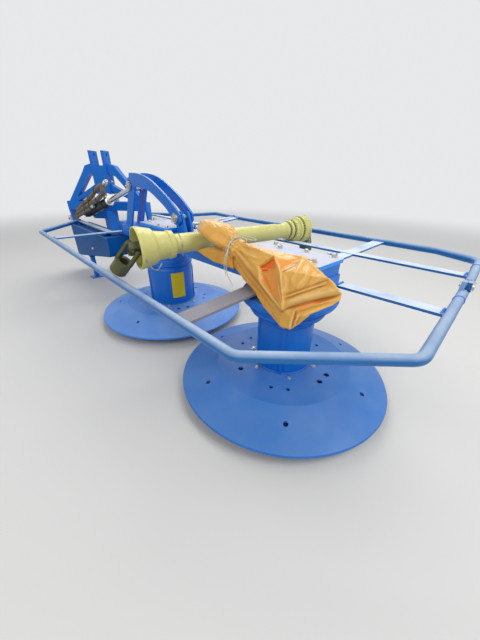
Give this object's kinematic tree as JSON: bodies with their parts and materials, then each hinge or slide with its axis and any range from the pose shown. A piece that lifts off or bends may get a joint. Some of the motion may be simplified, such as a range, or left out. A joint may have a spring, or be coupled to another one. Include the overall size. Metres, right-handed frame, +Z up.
{
  "type": "drum mower",
  "caption": "Rear drum mower with two dish-topped drums on round discs, a tubular guard frame, lifting arch, swinging three-point headstock and its drive shaft tied on top.",
  "frame": {"origin": "on the ground, under the middle of the machine's footprint in its parked pose", "axes": "+X towards the outer drum, +Y the way it travels, +Z up"},
  "size_m": [2.6849, 1.1618, 0.905],
  "materials": {
    "blue_paint": "semi-gloss",
    "steel": "satin",
    "black_paint": "satin",
    "chrome_rod": "polished",
    "olive_plastic": "matte",
    "olive_paint": "satin",
    "canvas": "matte"
  },
  "bodies": {
    "headstock": {"headstock_frame": "blue_paint", "hitch_plates": "blue_paint", "hitch_pins": "steel"},
    "swing_head": {"swing_head": "blue_paint", "swing_collar": "steel"},
    "cutter_unit": {"main_beam": "blue_paint", "gear_housings": "blue_paint", "gear_lids": "blue_paint", "bevel_head": "blue_paint", "belt_housing": "blue_paint", "carrying_arm": "blue_paint", "hinge_tube": "steel", "spindle_outer": "steel", "spindle_inner": "steel", "lift_arch": "blue_paint", "arch_lugs": "blue_paint", "arch_pin": "steel", "guard_rear_tube": "blue_paint", "guard_rear_bars": "blue_paint", "guard_side_tube": "blue_paint", "guard_front_tube": "blue_paint", "guard_front_bars": "blue_paint", "fold_pins": "steel", "pto_guard_wide": "olive_plastic", "pto_core_outer": "olive_paint", "canvas_cover": "canvas"},
    "drum_outer": {"drum_outer": "blue_paint", "disc_outer": "blue_paint", "knife_pins_outer": "steel", "knives_outer": "steel"},
    "drum_inner": {"drum_inner": "blue_paint", "disc_inner": "blue_paint", "knife_pins_inner": "steel", "knives_inner": "steel"},
    "skid_outer": {"skid_outer": "steel"},
    "skid_inner": {"skid_inner": "steel"},
    "input_shaft": {"input_shaft": "steel"},
    "parking_leg": {"parking_leg": "blue_paint"},
    "cylinder_barrel": {"cylinder_barrel": "black_paint"},
    "cylinder_rod": {"cylinder_rod": "chrome_rod", "eye_pin": "steel"},
    "pto_slide": {"pto_guard_narrow": "olive_plastic", "pto_core_inner": "steel"},
    "pto_cross_a": {"pto_cross_a": "olive_paint"},
    "pto_yoke_a": {"pto_yoke_a": "olive_paint"},
    "pto_cross_b": {"pto_cross_b": "olive_paint"},
    "pto_yoke_b": {"pto_yoke_b": "olive_paint"}
  },
  "joints": [
    {"name": "head_swing", "type": "hinge", "parent": "headstock", "child": "swing_head", "pos_m": [-1.03893, -0.04316, 0.5], "axis": [0, 0, 1], "range_deg": [0, 40]},
    {"name": "cutter_lift", "type": "hinge", "parent": "swing_head", "child": "cutter_unit", "pos_m": [-1.03893, -0.04316, 0.285], "axis": [0, -1, 0], "range_deg": [-3, 40]},
    {"name": "barrel_swing", "type": "hinge", "parent": "swing_head", "child": "cylinder_barrel", "pos_m": [-1.10893, -0.20316, 0.47], "axis": [0, -1, 0], "range_deg": [-3.6, 43]},
    {"name": "rod_slide", "type": "slide", "parent": "cylinder_barrel", "child": "cylinder_rod", "axis": [0.9664, 0.067, 0.248], "range_m": [-0.135, 0.012]},
    {"name": "drum_outer_spin", "type": "hinge", "parent": "cutter_unit", "child": "drum_outer", "pos_m": [0.87907, -0.14316, 0.2], "axis": [0, 0, 1], "continuous": true},
    {"name": "drum_inner_spin", "type": "hinge", "parent": "cutter_unit", "child": "drum_inner", "pos_m": [0.04307, -0.14316, 0.2], "axis": [0, 0, 1], "continuous": true},
    {"name": "skid_outer_spin", "type": "hinge", "parent": "cutter_unit", "child": "skid_outer", "pos_m": [0.87907, -0.14316, 0.05], "axis": [0, 0, 1], "continuous": true},
    {"name": "skid_inner_spin", "type": "hinge", "parent": "cutter_unit", "child": "skid_inner", "pos_m": [0.04307, -0.14316, 0.05], "axis": [0, 0, 1], "continuous": true},
    {"name": "input_spin", "type": "hinge", "parent": "cutter_unit", "child": "input_shaft", "pos_m": [-1.03893, -0.04316, 0.285], "axis": [0, 1, 0], "continuous": true},
    {"name": "leg_slide", "type": "slide", "parent": "cutter_unit", "child": "parking_leg", "axis": [0, 0, 1], "range_m": [0, 0.15]},
    {"name": "pto_telescope", "type": "slide", "parent": "cutter_unit", "child": "pto_slide", "axis": [0.166, 0.9861, 0.0047], "range_m": [0, 0.08]},
    {"name": "cross_swing_a", "type": "hinge", "parent": "cutter_unit", "child": "pto_cross_a", "pos_m": [0.43408, -0.49449, 0.50794], "axis": [-0.7798, 0.1342, -0.6114], "range_deg": [0, 15]},
    {"name": "yoke_swing_a", "type": "hinge", "parent": "pto_cross_a", "child": "pto_yoke_a", "pos_m": [0.43408, -0.49449, 0.50794], "axis": [-0.6037, -0.4197, 0.6778], "range_deg": [-7, 0]},
    {"name": "cross_swing_b", "type": "hinge", "parent": "pto_slide", "child": "pto_cross_b", "pos_m": [0.57806, 0.36068, 0.51206], "axis": [-0.0009, -0.0047, 1], "range_deg": [-10, 10]},
    {"name": "yoke_swing_b", "type": "hinge", "parent": "pto_cross_b", "child": "pto_yoke_b", "pos_m": [0.57806, 0.36068, 0.51206], "axis": [0.9861, -0.166, 0.0001], "range_deg": [0, 16]}
  ],
  "couplings": [
    {"joint": "barrel_swing", "follows": "cutter_lift", "ratio": 1.05},
    {"joint": "rod_slide", "follows": "cutter_lift", "m_per_rad": -0.19},
    {"joint": "drum_inner_spin", "follows": "drum_outer_spin", "ratio": -1},
    {"joint": "input_spin", "follows": "drum_outer_spin", "ratio": 0.29}
  ]
}
